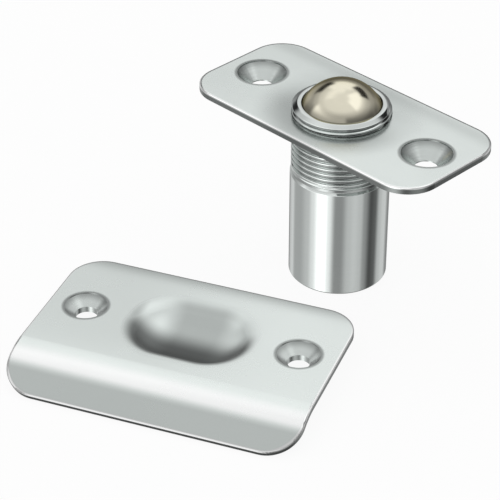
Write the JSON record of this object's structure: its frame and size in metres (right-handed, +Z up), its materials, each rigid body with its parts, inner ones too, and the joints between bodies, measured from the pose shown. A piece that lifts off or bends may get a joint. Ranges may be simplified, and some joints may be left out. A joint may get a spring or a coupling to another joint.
{
  "type": "ball catch",
  "caption": "Adjustable ball catch: sprung ball in a threaded barrel on a rounded faceplate, with a lipped and dimpled strike plate beside it",
  "frame": {"origin": "centre of the foot of the barrel, on the surface the set stands on", "axes": "+X along the faceplate, +Z up the barrel axis to the ball; the strike plate lies on the -Y side, turned a little about Z"},
  "size_m": [0.0598, 0.079, 0.0391],
  "materials": {
    "faceplate_metal": "satin chrome plate",
    "barrel_metal": "polished chrome plate",
    "ball_metal": "polished, warm nickel tone",
    "plug_metal": "turned",
    "spring_metal": "drawn wire",
    "strike_metal": "satin chrome plate"
  },
  "bodies": {
    "plates": {"faceplate": "faceplate_metal", "strike_plate": "strike_metal"},
    "spring_stack": {"spring": "spring_metal"},
    "barrel": {"barrel": "barrel_metal", "end_plug": "plug_metal"},
    "ball": {"ball": "ball_metal"}
  },
  "joints": [
    {"name": "barrel_height", "type": "slide", "parent": "plates", "child": "spring_stack", "axis": [0, 0, 1], "range_m": [-0.00159, 0.00741]},
    {"name": "barrel_turn", "type": "hinge", "parent": "spring_stack", "child": "barrel", "pos_m": [0, 0, 0], "axis": [0, 0, 1], "range_deg": [-541, 2521]},
    {"name": "ball_press", "type": "slide", "parent": "spring_stack", "child": "ball", "axis": [0, 0, 1], "range_m": [-0.00406, 0], "stiffness_N_per_m": 2470, "springref_m": 0.0015, "deforming": ["spring"]}
  ],
  "couplings": [
    {"joint": "barrel_turn", "follows": "barrel_height", "rad_per_m": 5937.1}
  ]
}
